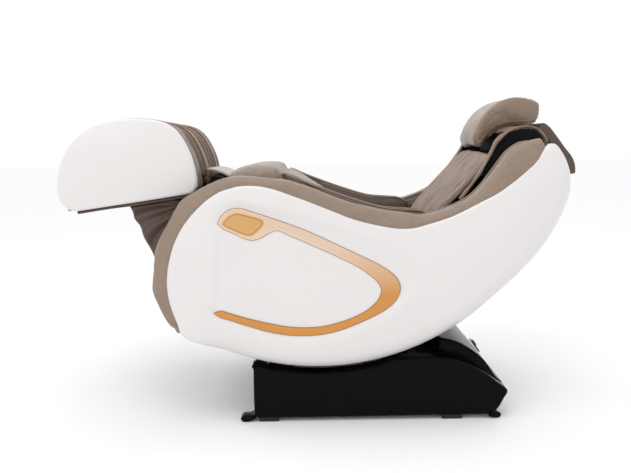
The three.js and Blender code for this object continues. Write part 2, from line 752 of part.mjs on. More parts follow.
function actuatorHousing() {
  const { y, z, housing, rod } = ACTUATOR;
  const tube = barrelX([y, z], housing, [HOUSING_X[0], 396], 14);
  const foot = block([300, 330], [y - 12, y + 12], [91, z]);
  return cut(joined([tube, foot]), [barrelX([y, z], rod + 0.6, [HOUSING_X[0] - 1, 388], 16)]);
}
add("actuator_housing", actuatorHousing(), "painted_steel");

function actuatorRod() {
  const { y, z, rod } = ACTUATOR;
  return joined([
    barrelX([y, z], rod, rodX, 14),
    barrelY([BRACKET_FOOT[0], z], 4.5, [y, y + 20], 10),
  ]);
}
add("actuator_rod", actuatorRod(), "bright_steel");

// Power inlet and switch at the rear of the base ----------------------------------------------

const INLET = new THREE.Vector2(513, 141);
const INLET_TILT = THREE.MathUtils.degToRad(56); // slope of the hood behind it
function onHood(geometry) {
  return geometry.rotateY(INLET_TILT).translate(INLET.x, 0, INLET.y);
}
add("power_inlet", onHood(block([-16, 16], [-50, 10], [0, 5])), "grey_plastic");
add("power_switch", onHood(block([-9, 9], [-8, 6], [6, 10])), "rubber");

export default chair;
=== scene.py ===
"""The massage chair's looks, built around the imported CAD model. Lengths are in metres."""

import math

import bmesh
import bpy
from mathutils import Matrix, Vector, noise
from mathutils.geometry import delaunay_2d_cdt
from mathutils.kdtree import KDTree


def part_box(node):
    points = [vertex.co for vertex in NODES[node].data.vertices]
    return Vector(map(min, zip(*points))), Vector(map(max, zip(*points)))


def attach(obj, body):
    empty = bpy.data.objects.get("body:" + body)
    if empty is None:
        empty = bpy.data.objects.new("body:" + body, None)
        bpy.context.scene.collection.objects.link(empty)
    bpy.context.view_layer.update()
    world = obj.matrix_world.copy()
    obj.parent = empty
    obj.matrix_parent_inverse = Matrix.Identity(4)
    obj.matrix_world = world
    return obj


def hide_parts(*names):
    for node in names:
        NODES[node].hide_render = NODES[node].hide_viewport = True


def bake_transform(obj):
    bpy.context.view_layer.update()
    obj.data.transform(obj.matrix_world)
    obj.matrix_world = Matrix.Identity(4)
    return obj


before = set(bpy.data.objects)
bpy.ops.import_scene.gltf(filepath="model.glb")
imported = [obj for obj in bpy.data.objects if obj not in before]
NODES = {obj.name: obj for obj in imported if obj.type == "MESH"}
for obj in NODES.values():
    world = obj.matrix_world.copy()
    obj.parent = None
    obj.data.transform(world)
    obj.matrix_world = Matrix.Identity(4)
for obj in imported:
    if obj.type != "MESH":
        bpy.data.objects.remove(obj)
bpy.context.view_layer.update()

# Materials -----------------------------------------------------------------------------------


class Finish:
    """A node-based material, built up in a few calls."""

    def __init__(self, name, colour, roughness, metallic=0.0):
        self.material = bpy.data.materials.new(name)
        self.material.use_nodes = True
        self.nodes = self.material.node_tree.nodes
        self.links = self.material.node_tree.links
        self.shader = self.nodes["Principled BSDF"]
        self.shader.inputs["Base Color"].default_value = (*colour, 1)
        self.shader.inputs["Roughness"].default_value = roughness
        self.shader.inputs["Metallic"].default_value = metallic
        self.colour = colour
        self.height = None

    def set(self, **values):
        for name, value in values.items():
            self.shader.inputs[name.replace("_", " ")].default_value = value
        return self

    def position(self):
        return self.nodes.new("ShaderNodeTexCoord").outputs["Object"]

    def noise(self, scale, detail=3.0, stretch=None):
        texture = self.nodes.new("ShaderNodeTexNoise")
        texture.inputs["Scale"].default_value = scale
        texture.inputs["Detail"].default_value = detail
        self.links.new(self.stretched(stretch), texture.inputs["Vector"])
        return texture.outputs["Fac"]

    def cells(self, scale, feature="DISTANCE_TO_EDGE", stretch=None):
        texture = self.nodes.new("ShaderNodeTexVoronoi")
        texture.feature = feature
        texture.inputs["Scale"].default_value = scale
        self.links.new(self.stretched(stretch), texture.inputs["Vector"])
        return texture.outputs["Distance"]

    def stretched(self, stretch):
        if stretch is None:
            return self.position()
        mapping = self.nodes.new("ShaderNodeMapping")
        mapping.inputs["Scale"].default_value = stretch
        self.links.new(self.position(), mapping.inputs["Vector"])
        return mapping.outputs["Vector"]

    def ramp(self, value, low, high, start, end):
        """Maps start..end of a value to low..high."""
        node = self.nodes.new("ShaderNodeMapRange")
        for name, number in (
            ("From Min", start), ("From Max", end), ("To Min", low), ("To Max", high),
        ):
            node.inputs[name].default_value = number
        self.links.new(value, node.inputs["Value"])
        return node.outputs["Result"]

    def vary_colour(self, value, other):
        """Mixes the base colour towards another one where the value is high."""
        mix = self.nodes.new("ShaderNodeMix")
        mix.data_type = "RGBA"
        source = self.shader.inputs["Base Color"]
        if source.is_linked:
            self.links.new(source.links[0].from_socket, mix.inputs["A"])
        else:
            mix.inputs["A"].default_value = (*self.colour, 1)
        mix.inputs["B"].default_value = (*other, 1)
        self.links.new(value, mix.inputs["Factor"])
        self.links.new(mix.outputs["Result"], source)
        return self

    def vary_roughness(self, value, low, high):
        self.links.new(self.ramp(value, low, high, 0.3, 0.7), self.shader.inputs["Roughness"])
        return self

    def bump(self, value, distance, strength=1.0):
        node = self.nodes.new("ShaderNodeBump")
        node.inputs["Distance"].default_value = distance
        node.inputs["Strength"].default_value = strength
        self.links.new(value, node.inputs["Height"])
        if self.height is not None:
            self.links.new(self.height, node.inputs["Normal"])
        self.height = node.outputs["Normal"]
        self.links.new(self.height, self.shader.inputs["Normal"])
        return self


def linear(red, green, blue):
    """A screen colour, 0 to 255, in the renderer's linear scale."""

    def channel(value):
        value /= 255
        return value / 12.92 if value <= 0.04045 else ((value + 0.055) / 1.055) ** 2.4

    return tuple(channel(value) for value in (red, green, blue))


def shade(colour, factor):
    return tuple(value * factor for value in colour)


def leather(name, colour, roughness=0.42, coat=0.18):
    """Upholstery leather: pebbled grain, fine creases, uneven dye and slightly shiny wear."""
    finish = Finish(name, colour, roughness).set(Coat_Weight=coat, Coat_Roughness=0.35)
    mottled = finish.noise(9, 4)
    finish.vary_colour(finish.ramp(mottled, 0, 0.55, 0.35, 0.75), shade(colour, 0.78))
    finish.vary_roughness(finish.noise(35), roughness - 0.07, roughness + 0.1)
    grain = finish.cells(520)
    finish.vary_colour(finish.ramp(grain, 0.35, 0, 0.0, 0.12), shade(colour, 0.6))
    finish.bump(finish.ramp(grain, 0, 1, 0.0, 0.25), 0.0004, 0.5)
    finish.bump(finish.noise(120, 5), 0.0006, 0.25)
    finish.bump(finish.noise(14, 2), 0.004, 0.22)
    streaks = finish.noise(150, 4, stretch=(0.3, 1, 1))
    finish.vary_colour(finish.ramp(streaks, 0, 0.5, 0.45, 0.7), shade(colour, 0.72))
    finish.bump(streaks, 0.0015, 0.35)
    return finish.material


def pleated(name, colour):
    """Ribbed upholstery: irregular grooves that run up the back, darkened with painted shade."""
    finish = Finish(name, colour, 0.5).set(Coat_Weight=0.1, Coat_Roughness=0.4)
    mapping = finish.nodes.new("ShaderNodeMapping")
    mapping.vector_type = "TEXTURE"
    mapping.inputs["Rotation"].default_value = (0, math.radians(-46), 0)
    mapping.inputs["Scale"].default_value = (14, 1, 1)
    finish.links.new(finish.position(), mapping.inputs["Vector"])
    lines = finish.nodes.new("ShaderNodeTexNoise")
    lines.inputs["Scale"].default_value = 170
    lines.inputs["Detail"].default_value = 3
    finish.links.new(mapping.outputs["Vector"], lines.inputs["Vector"])
    # Painted shade: the colour darkens in the grooves, where the bump sets the surface back.
    finish.vary_colour(finish.ramp(lines.outputs["Fac"], 0.8, 0, 0.36, 0.56), shade(colour, 0.5))
    finish.bump(lines.outputs["Fac"], 0.003, 0.6)
    finish.bump(finish.cells(520), 0.0004, 0.3)
    return finish.material


def moulded(name, colour, roughness, coat, specular=0.5):
    """Glossy moulding: clear-coated, with a faint orange peel and handling haze."""
    finish = Finish(name, colour, roughness).set(Coat_Weight=coat, Coat_Roughness=0.06)
    finish.set(Specular_IOR_Level=specular)
    finish.vary_roughness(finish.noise(6, 4), roughness - 0.03, roughness + 0.06)
    finish.vary_colour(finish.ramp(finish.noise(3, 2), 0, 0.3, 0.4, 0.8), shade(colour, 0.95))
    finish.bump(finish.noise(240, 1), 0.0002, 0.12)
    return finish.material


def brushed(name, colour, roughness, painted_reflection=None):
    """Brushed metal with fine lines along X. Given a second colour, the metal turns lighter
    towards the top: a painted reflection of the bright sky.
    """
    finish = Finish(name, colour, roughness, metallic=1.0)
    lines = finish.noise(60, 4, stretch=(1, 40, 40))
    finish.vary_roughness(lines, roughness - 0.06, roughness + 0.1)
    finish.vary_colour(finish.ramp(lines, 0, 0.5, 0.4, 0.8), shade(colour, 0.86))
    finish.bump(lines, 0.0001, 0.15)
    # Painted reflection: a lighter colour takes over towards the top, standing in for the bright
    # sky mirrored in the band.
    if painted_reflection:
        height = finish.nodes.new("ShaderNodeSeparateXYZ")
        finish.links.new(finish.position(), height.inputs[0])
        finish.vary_colour(finish.ramp(height.outputs["Z"], 0, 0.85, 0.40, 0.54), painted_reflection)
    return finish.material


def coated(name, colour, roughness=0.5):
    """Powder coat or plain moulding with a fine texture."""
    finish = Finish(name, colour, roughness)
    speckle = finish.noise(300, 3)
    finish.vary_roughness(speckle, roughness - 0.08, roughness + 0.1)
    finish.vary_colour(finish.ramp(finish.noise(20), 0, 0.4, 0.4, 0.8), shade(colour, 0.8))
    finish.bump(speckle, 0.0002, 0.3)
    return finish.material


def woven(name, colour):
    """Matt stretch fabric with a fine rib both ways."""
    finish = Finish(name, colour, 0.92).set(Sheen_Weight=0.08, Sheen_Roughness=0.5)
    finish.set(Specular_IOR_Level=0.15)
    finish.vary_colour(finish.ramp(finish.noise(60), 0, 0.7, 0.4, 0.8), shade(colour, 1.8))
    finish.bump(finish.cells(900, "F1"), 0.0004, 0.7)
    finish.bump(finish.noise(25), 0.002, 0.3)
    return finish.material


MATERIALS = {
    "white_shell": moulded("white_shell", linear(222, 219, 218), 0.3, 0.35),
    "black_gloss": moulded("black_gloss", linear(11, 9, 7), 0.24, 0.0, 0.06),
    "tan_leather": leather("tan_leather", linear(154, 136, 124)),
    "pillow_leather": leather("pillow_leather", linear(137, 116, 98), 0.34, 0.45),
    "roll_leather": leather("roll_leather", linear(146, 126, 110)),
    "brown_leather": leather("brown_leather", linear(136, 115, 98)),
    # A much darker copy of the leather. On the hip pads and the leg cover rims its darkness is
    # painted shade.
    "dark_leather": leather("dark_leather", linear(88, 69, 58), roughness=0.5, coat=0.08),
    "pleated_leather": pleated("pleated_leather", linear(155, 136, 124)),
    "strap_leather": leather("strap_leather", linear(186, 173, 165)),
    "stitching": coated("stitching", linear(196, 182, 168), 0.8),
    "black_fabric": woven("black_fabric", linear(15, 15, 16)),
    # The gold trim's lighter second colour is a painted reflection, lighter towards the top.
    "gold_trim": brushed("gold_trim", linear(206, 146, 84), 0.26, linear(232, 210, 190)),
    "gold_line": brushed("gold_line", linear(150, 98, 52), 0.35),
    "gold_badge": brushed("gold_badge", linear(218, 172, 116), 0.32),
    "painted_steel": coated("painted_steel", linear(62, 64, 67)),
    "bright_steel": brushed("bright_steel", linear(190, 192, 195), 0.3),
    "grey_plastic": coated("grey_plastic", linear(92, 95, 99), 0.6),
    "rubber": coated("rubber", linear(30, 30, 30), 0.85),
}

# Reading shapes from the CAD nodes -----------------------------------------------------------


def walk(edges):
    """Splits edges into ordered loops of vertices."""
    left = dict.fromkeys(edges)
    loops = []
    while left:
        first = next(iter(left))
        left.pop(first)
        loop = list(first.verts)
        onward = True
        while onward:
            onward = next((edge for edge in loop[-1].link_edges if edge in left), None)
            if onward:
                left.pop(onward)
                loop.append(onward.other_vert(loop[-1]))
        loops.append(loop[:-1] if loop[0] is loop[-1] else loop)
    return loops


def length(points, closed=True):
    pairs = zip(points, points[1:] + points[:1] if closed else points[1:])
    return sum((b - a).length for a, b in pairs)


def section(node, y):
    """The longest outline of a CAD node where the plane at y cuts it: points in X and Z."""
    cut = bmesh.new()
    cut.from_mesh(NODES[node].data)
    bmesh.ops.remove_doubles(cut, verts=cut.verts, dist=1e-5)
    everything = cut.verts[:] + cut.edges[:] + cut.faces[:]
    found = bmesh.ops.bisect_plane(
        cut, geom=everything, dist=1e-6, plane_co=(0, y, 0), plane_no=(0, 1, 0)
    )["geom_cut"]
    edges = [item for item in found if isinstance(item, bmesh.types.BMEdge)]
    loops = [[Vector((v.co.x, v.co.z)) for v in loop] for loop in walk(edges)]
    cut.free()
    return anticlockwise(without_flats(max(loops, key=length)))


def area(points):
    return sum(a.x * b.y - b.x * a.y for a, b in zip(points, points[1:] + points[:1])) / 2


def anticlockwise(points):
    """Runs an outline the way that gives it outward normals."""
    return points if area(points) > 0 else points[::-1]


def flat(*points):
    return [Vector(point) for point in points]


def turning(before, here, after):
    """How sharply a line turns at a point, in degrees."""
    along, onward = here - before, after - here
    if along.length < 1e-7 or onward.length < 1e-7:
        return 0.0
    return math.degrees(along.angle(onward))


def without_flats(points, least=0.4):
    """Leaves out the points that lie on a straight line between their neighbours."""
    kept = []
    for i, here in enumerate(points):
        after = points[(i + 1) % len(points)]
        before = kept[-1] if kept else points[i - 1]
        if turning(before, here, after) > least:
            kept.append(here)
    return kept


def curve_through(points, closed, step):
    """Evenly spaced points on a smooth curve through the given ones."""
    count = len(points)
    last = count if closed else count - 1
    fine = []
    for i in range(last):
        p = [points[(i + k) % count] if closed else points[min(max(i + k, 0), count - 1)]
             for k in (-1, 0, 1, 2)]
        for n in range(12):
            t = n / 12
            fine.append(0.5 * (
                2 * p[1] + (p[2] - p[0]) * t + (2 * p[0] - 5 * p[1] + 4 * p[2] - p[3]) * t * t
                + (3 * p[1] - p[0] - 3 * p[2] + p[3]) * t ** 3
            ))
    if not closed:
        fine.append(points[-1])
    return spaced(fine, closed, step)


def spaced(points, closed, step):
    """Points at an even distance along a line."""
    total = length(points, closed)
    count = max(2, round(total / step))
    line = points + points[:1] if closed else points
    wanted = [total * i / count for i in range(count if closed else count + 1)]
    result = []
    travelled = 0.0
    index = 0
    for distance in wanted:
        segment = line[index + 1] - line[index]
        while index < len(line) - 2 and travelled + segment.length < distance:
            travelled += segment.length
            index += 1
            segment = line[index + 1] - line[index]
        along = (distance - travelled) / max(segment.length, 1e-9)
        result.append(line[index] + segment * min(along, 1.0))
    return result


def corners_of(points, least):
    return [i for i, here in enumerate(points)
            if turning(points[i - 1], here, points[(i + 1) % len(points)]) > least]


def smooth_outline(points, step, corner=32):
    """A closed outline made smooth between its sharp corners."""
    sharp = corners_of(points, corner)
    if not sharp:
        return curve_through(points, True, step)
    turned = points[sharp[0]:] + points[:sharp[0]]
    sharp = [i - sharp[0] for i in sharp] + [len(points)]
    turned.append(turned[0])
    result = []
    for start, end in zip(sharp, sharp[1:]):
        result += curve_through(turned[start:end + 1], False, step)[:-1]
    return result


def normals_of(points, closed=True):
    """Outward unit normals of an outline that runs anticlockwise."""
    found = []
    count = len(points)
    for i in range(count):
        before = points[i - 1] if closed or i else points[i]
        after = points[(i + 1) % count] if closed or i < count - 1 else points[i]
        along = (after - before).normalized()
        found.append(Vector((along.y, -along.x)))
    return found


# Making meshes -------------------------------------------------------------------------------


def make(name, mesh, material, body, replaces=(), smooth=True):
    """Turns a bmesh into a piece that rides on a body, where it has one."""
    bmesh.ops.recalc_face_normals(mesh, faces=mesh.faces)
    for face in mesh.faces:
        face.smooth = smooth
    data = bpy.data.meshes.new(name)
    mesh.to_mesh(data)
    mesh.free()
    piece = bpy.data.objects.new(name, data)
    bpy.context.scene.collection.objects.link(piece)
    data.materials.append(MATERIALS[material])
    if body:
        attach(piece, body)
    if replaces:
        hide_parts(*replaces)
    return piece


def skin(mesh, rings, closed=True, caps=True):
    """Joins rings of 3-D points into a surface, and closes its two ends."""
    rows = [[mesh.verts.new(point) for point in ring] for ring in rings]
    for lower, upper in zip(rows, rows[1:]):
        count = len(lower)
        for i in range(count if closed else count - 1):
            n = (i + 1) % count
            mesh.faces.new((lower[i], lower[n], upper[n], upper[i]))
    if caps:
        for row in (rows[0], rows[-1]):
            mesh.faces.new(row)
    return rows


def apply_modifiers(piece):
    """Bakes a piece's modifiers into its mesh."""
    graph = bpy.context.evaluated_depsgraph_get()
    data = bpy.data.meshes.new_from_object(piece.evaluated_get(graph))
    piece.modifiers.clear()
    old = piece.data
    piece.data = data
    bpy.data.meshes.remove(old)
    return piece


def subdivide(piece, levels=1):
    modifier = piece.modifiers.new("subdivision", "SUBSURF")
    modifier.levels = levels
    modifier.render_levels = levels
    return apply_modifiers(piece)


def relaxed(points, amount):
    count = len(points)
    return [
        here.lerp((points[i - 1] + points[(i + 1) % count]) / 2, amount)
        for i, here in enumerate(points)
    ]


def inset(points, distance, weights=None, step=0.003):
    """Moves an outline inwards in small steps, easing out any kinks as it goes."""
    count = max(1, math.ceil(abs(distance) / step))
    for _ in range(count if distance else 0):
        normals = normals_of(points)
        points = [
            here - normals[i] * distance / count * (weights[i] if weights else 1)
            for i, here in enumerate(points)
        ]
        points = relaxed(points, 0.2)
    return points


def distance_to(outline, closed=True):
    """A function that gives a point's distance to an outline."""
    fine = spaced(outline, closed, 0.002)
    tree = KDTree(len(fine))
    for i, point in enumerate(fine):
        tree.insert((point.x, point.y, 0), i)
    tree.balance()
    return lambda point: tree.find((point.x, point.y, 0))[2]


def inside(outline, point):
    x, z = point
    crossings = (
        a.x + (b.x - a.x) * (z - a.y) / (b.y - a.y) > x
        for a, b in zip(outline, outline[1:] + outline[:1]) if (a.y > z) != (b.y > z)
    )
    return sum(crossings) % 2 == 1


def ease(value):
    value = min(max(value, 0.0), 1.0)
    return value * value * (3 - 2 * value)


def fill(mesh, row, step, height):
    """Closes a ring with an even net of triangles, at height(point, distance to the ring)."""
    edge = [Vector((v.co.x, v.co.z)) for v in row]
    away = distance_to(edge)
    extra = []
    across = step * 0.866
    bottom, top = min(p.y for p in edge), max(p.y for p in edge)
    for j in range(1, int((top - bottom) / across) + 1):
        z = bottom + j * across
        crossings = sorted(
            a.x + (b.x - a.x) * (z - a.y) / (b.y - a.y)
            for a, b in zip(edge, edge[1:] + edge[:1]) if (a.y > z) != (b.y > z)
        )
        for start, end in zip(crossings[::2], crossings[1::2]):
            first = math.ceil(start / step) + 0.5 * (j % 2)
            count = max(0, int(end / step - first) + 1)
            extra += [Vector(((first + i) * step, z)) for i in range(count)]
    extra = [point for point in extra if away(point) > step * 0.6 and inside(edge, point)]
    loop = [list(range(len(edge)))]
    points, _, faces, origins, _, _ = delaunay_2d_cdt(edge + extra, [], loop, 1, 1e-7)
    made = []
    for point, origin in zip(points, origins):
        on_ring = [i for i in origin if i < len(edge)]
        if on_ring:
            made.append(row[on_ring[0]])
        else:
            made.append(mesh.verts.new((point.x, height(point, away(point)), point.y)))
    for face in faces:
        corners = [made[i] for i in face]
        if len(set(corners)) == len(corners):
            mesh.faces.new(corners)


def edge_levels(start, end, first, last, steps=5, spacing=0.012, depth=None):
    """Levels (y, inset) from start to end, with a rounded edge of its own radius at each.

    With a depth, an edge is elliptical: its inset is the depth and not the radius."""
    sign = 1 if end > start else -1
    turns = [math.pi / 2 * i / steps for i in range(steps + 1)]
    deep = depth if depth is not None else 1.0
    low = deep if depth is not None else first
    high = deep if depth is not None else last
    levels = [
        (start + sign * first * (1 - math.cos(t)), low * (1 - math.sin(t))) for t in turns
    ]
    begin, finish = start + sign * first, end - sign * last
    between = max(1, int(abs(finish - begin) / spacing))
    levels += [(begin + (finish - begin) * i / between, 0.0) for i in range(1, between)]
    levels += [
        (end - sign * last * (1 - math.cos(t)), high * (1 - math.sin(t))) for t in turns[::-1]
    ]
    return levels


def slab(outline, levels, cap_step=0.012, crown=0.0, reach=0.05, open_start=False):
    """A form along Y through levels (y, inset), its ends evenly netted and crowned."""
    mesh = bmesh.new()
    shapes = {}
    done, shape = 0.0, outline
    for amount in sorted({level[1] for level in levels}):
        shape = inset(shape, amount - done)
        shapes[amount] = shape
        done = amount
    rings = [[Vector((p.x, y, p.y)) for p in shapes[amount]] for y, amount in levels]
    rows = skin(mesh, rings, caps=False)
    ends = [(rows[-1], levels[-1][0], levels[0][0])]
    if not open_start:
        ends.append((rows[0], levels[0][0], levels[-1][0]))
    for row, y, other in ends:
        outward = crown if y > other else -crown

        def height(point, distance, y=y, outward=outward):
            return y + outward * (1 - (1 - min(distance / reach, 1)) ** 2)

        fill(mesh, row, cap_step, height)
    return mesh


def outline_of(node, y, step=0.006, corner=40):
    return smooth_outline(section(node, y), step, corner)


def shape_of(node):
    """A CAD node's own surface, to work on as a piece of its own."""
    mesh = bmesh.new()
    mesh.from_mesh(NODES[node].data)
    bmesh.ops.remove_doubles(mesh, verts=mesh.verts, dist=1e-5)
    return mesh


def hollow(piece, thickness):
    """Gives an open shell its wall thickness, inwards."""
    modifier = piece.modifiers.new("wall", "SOLIDIFY")
    modifier.thickness = thickness
    modifier.offset = -1
    return apply_modifiers(piece)


def pair(name, mesh, material, body, nodes=(), after=None):
    """The left piece and its mirrored twin. Node names are given without their side."""
    twin = mesh.copy()
    for vertex in twin.verts:
        vertex.co.y = -vertex.co.y
    bmesh.ops.reverse_faces(twin, faces=twin.faces)
    for side, own in (("left", mesh), ("right", twin)):
        stands_for = [f"{node}_{side}" for node in nodes]
        piece = make(f"{name}_{side}", own, material, body, stands_for)
        if after:
            after(piece)


def displaced(piece, move):
    """Moves each vertex by move(place, normal)."""
    normals = [v.normal.copy() for v in piece.data.vertices]
    for vertex, normal in zip(piece.data.vertices, normals):
        vertex.co += move(vertex.co, normal)
    piece.data.update()
    return piece


def wrinkled(piece, amount, scale, stretch=(1, 1, 1)):
    """Moves a piece's surface in and out a little, as upholstery creases."""
    def move(place, normal):
        spot = Vector([c * s * scale for c, s in zip(place, stretch)])
        return normal * amount * noise.noise(spot)

    return displaced(piece, move)


def cord_mesh(mesh, points, radius, closed=False, sides=8):
    """A round cord along points, for piping and seams."""
    count = len(points)
    rings = []
    for i, here in enumerate(points):
        before = points[i - 1] if closed or i else here
        after = points[(i + 1) % count] if closed or i < count - 1 else here
        along = (after - before).normalized()
        side = along.cross(Vector((0, 1, 0)))
        side = side.normalized() if side.length > 1e-4 else Vector((1, 0, 0))
        other = along.cross(side)
        turns = [2 * math.pi * k / sides for k in range(sides)]
        rings.append([here + (side * math.cos(t) + other * math.sin(t)) * radius for t in turns])
    rows = skin(mesh, rings, caps=not closed)
    if closed:
        for i in range(sides):
            n = (i + 1) % sides
            mesh.faces.new((rows[-1][i], rows[-1][n], rows[0][n], rows[0][i]))


def stitch_mesh(mesh, points, gap, size):
    """A row of short threads along points."""
    line = spaced(points, False, gap)
    for a, b in zip(line, line[1:]):
        along = (b - a) * 0.32
        middle = (a + b) / 2
        side = along.cross(Vector((0, 1, 0)))
        side = (side.normalized() if side.length > 1e-7 else Vector((1, 0, 0))) * size
        other = along.normalized().cross(side)
        rows = []
        for shift, fat in ((-1, 0.3), (-0.5, 1), (0.5, 1), (1, 0.3)):
            turns = (0, math.pi / 2, math.pi, 3 * math.pi / 2)
            spot = middle + along * shift
            rows.append([spot + (side * math.cos(t) + other * math.sin(t)) * fat for t in turns])
        skin(mesh, rows)


def at_y(points, y):
    return [Vector((p.x, y, p.y)) for p in points]


PRESSURE = 4.0
CLOTH_FRAMES = 20


def plump(piece, cap, voxel=0.006):
    """Remeshes a piece evenly and inflates it as cloth, each point kept within cap."""
    remesh = piece.modifiers.new("remesh", "REMESH")
    remesh.mode = "VOXEL"
    remesh.voxel_size = voxel
    apply_modifiers(piece)
    relax = piece.modifiers.new("relax", "SMOOTH")
    relax.factor = 0.5
    relax.iterations = 3
    apply_modifiers(piece)
    start = [v.co.copy() for v in piece.data.vertices]
    cloth = piece.modifiers.new("cloth", "CLOTH")
    cloth.settings.use_pressure = True
    cloth.settings.uniform_pressure_force = PRESSURE
    cloth.settings.effector_weights.gravity = 0
    for number in range(1, CLOTH_FRAMES + 1):
        bpy.context.scene.frame_set(number)
    graph = bpy.context.evaluated_depsgraph_get()
    moved = [v.co.copy() for v in piece.evaluated_get(graph).data.vertices]
    piece.modifiers.clear()
    for vertex, before, after in zip(piece.data.vertices, start, moved):
        shift = after - before
        vertex.co = before + shift * min(1.0, cap / max(shift.length, 1e-9))
    bpy.context.scene.frame_set(1)
    piece.data.polygons.foreach_set("use_smooth", [True] * len(piece.data.polygons))
    return subdivide(piece)


def box_y(node):
    """A node's limits in Y."""
    low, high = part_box(node)
    return low.y, high.y


def simple(name, node, y, material, body, slot, first=0.0015, last=0.0015, **how):
    """One node's section at y, run between the node's own Y limits with rounded edges."""
    step, corner = how.pop("step", 0.008), how.pop("corner", 40)
    depth = how.pop("depth", None)
    low, high = box_y(node)
    levels = edge_levels(low, high, first, last, 5, 0.014, depth)
    mesh = slab(outline_of(node, y, step, corner), levels, **how)
    return make(name, mesh, material, body, [node])


def seams(name, lines, radius, material, body, closed=False):
    """Piping along each line, as one piece."""
    mesh = bmesh.new()
    for line in lines:
        cord_mesh(mesh, line, radius, closed)
    return make(name, mesh, material, body)


def threads(name, lines, body, gap, size):
    """Rows of stitches, each a run of short threads."""
    mesh = bmesh.new()
    for line in lines:
        stitch_mesh(mesh, line, gap, size)
    return make(name, mesh, "stitching", body)


def chain(points, keep):
    """The longest unbroken run of an outline's points that pass a test."""
    marks = [keep(point) for point in points]
    if all(marks):
        return points
    start = marks.index(False)
    runs, run = [], []
    for k in range(len(points)):
        i = (start + k) % len(points)
        if marks[i]:
            run.append(points[i])
        elif run:
            runs.append(run)
            run = []
    return max(runs + [run], key=len)


def mirrored(lines):
    """The lines, and their twins on the other side."""
    return lines + [[Vector((p.x, -p.y, p.z)) for p in line] for line in lines]


# Tub: side shells, trim, rolls ---------------------------------------------------------------

SHELL_FACE = -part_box("side_shell_left")[0].y
SHELL_DEEP = -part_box("side_shell_left")[1].y
SHELL_OUTLINE = outline_of("side_shell_left", 0.0081 - SHELL_FACE, 0.01, 50)
TRIM_OUTLINE = outline_of("gold_trim_left", -SHELL_FACE - 0.0015, 0.005, 50)
ROUND_EDGE = 0.075  # the radius under the tub and behind it
SHARP_EDGE = 0.011  # the radius beside the rolls
CROWN = 0.008
CROWN_REACH = 0.14
PANEL_DIP = 0.013  # how far the panel inside the trim is set back
FACE_BACK = 0.005  # the face's rim lies this far inside the outermost plane
ROLL_BESIDE = 0.322  # the shell's depth where it meets the rolls
ROUND_STEPS = 8


def roundness(outline):
    """For each point: 1 on the full round of the underside and rear, 0 on the roll's edge."""
    toe = min(range(len(outline)), key=lambda i: outline[i].x * 0.6 + outline[i].y)
    tip = max(range(len(outline)), key=lambda i: outline[i].y + outline[i].x * 0.2)
    span = (tip - toe) % len(outline)
    along = [((i - toe) % len(outline)) / span for i in range(len(outline))]
    return [ease(min(a / 0.08, (1 - a) / 0.13)) for a in along]


def panel_region():
    """The trim's outer edge, closed across its open left side."""
    low = min(range(len(TRIM_OUTLINE)), key=lambda i: TRIM_OUTLINE[i].x + TRIM_OUTLINE[i].y * 0.02)
    turned = TRIM_OUTLINE[low:] + TRIM_OUTLINE[:low]
    middle = sum(turned, Vector((0, 0))) / len(turned)
    return [p for p, normal in zip(turned, normals_of(turned)) if (p - middle).dot(normal) > 0]


PANEL = panel_region()
PANEL_AWAY = distance_to(PANEL)
ROUNDNESS = roundness(SHELL_OUTLINE)
EDGE_RADII = [SHARP_EDGE + (ROUND_EDGE - SHARP_EDGE) * part for part in ROUNDNESS]
FACE_RING = inset(SHELL_OUTLINE, ROUND_EDGE, [radius / ROUND_EDGE for radius in EDGE_RADII])
FACE_AWAY = distance_to(FACE_RING)


def face_depth(point):
    """How far out the shell's face stands at a point."""
    bulge = CROWN * (1 - (1 - min(FACE_AWAY(point) / CROWN_REACH, 1)) ** 2)
    if inside(PANEL, point):
        rise = 0.0
    else:
        width = 0.018 + 0.045 * ease((point.x + 0.3) / 0.5) * ease((point.y - 0.36) / 0.12)
        rise = min(PANEL_AWAY(point) / width, 1) ** 1.5
    dip = PANEL_DIP * (1 - rise) * ease((point.x + 0.42) / 0.22)
    return SHELL_FACE - FACE_BACK + bulge - dip


def side_shell():
    """A crowned face, a rounded edge whose radius varies, and a rim that turns inwards."""
    mesh = bmesh.new()
    rings = []
    for step in range(ROUND_STEPS + 1):
        turn = math.pi / 2 * step / ROUND_STEPS
        ring = inset(SHELL_OUTLINE, ROUND_EDGE * (1 - math.sin(turn)),
                     [radius / ROUND_EDGE for radius in EDGE_RADII])
        rings.append([
            Vector((p.x, radius * (1 - math.cos(turn)) + FACE_BACK - SHELL_FACE, p.y))
            for p, radius in zip(ring, EDGE_RADII)
        ])
    ends = [ROLL_BESIDE + (SHELL_DEEP + 0.0005 - ROLL_BESIDE) * part for part in ROUNDNESS]
    for share in (0.35, 0.7, 1.0):
        rings.append([
            Vector((p.x, last.y + (-end - last.y) * share, p.y))
            for p, last, end in zip(SHELL_OUTLINE, rings[ROUND_STEPS], ends)
        ])
    rows = skin(mesh, rings, caps=False)
    fill(mesh, rows[0], 0.009, lambda point, distance: -face_depth(point))
    return mesh


pair("shell_side", side_shell(), "white_shell", "tub", ["side_shell"],
     lambda piece: hollow(piece, 0.004))


def trim():
    """The flat band, laid on the shell's curved face."""
    levels = [(0.0006, 0.0), (-0.0016, 0.0), (-0.0022, 0.0003), (-0.0025, 0.0009)]
    mesh = slab(TRIM_OUTLINE, levels, 0.006)
    for vertex in mesh.verts:
        vertex.co.y -= face_depth(Vector((vertex.co.x, vertex.co.z)))
    return mesh


pair("trim_band", trim(), "gold_trim", "tub", ["gold_trim"])


def on_face(points, lift):
    """Points laid over the shell's face."""
    return [Vector((p.x, -face_depth(p) - lift, p.y)) for p in points]


def trim_lines():
    """A thin dark line round the band, and one round the blank badge."""
    mesh = bmesh.new()
    cord_mesh(mesh, on_face(TRIM_OUTLINE, 0.0012), 0.0011, True, 6)
    cord_mesh(mesh, on_face(inset(BADGE, 0.005), 0.0032), 0.0007, True, 6)
    return mesh


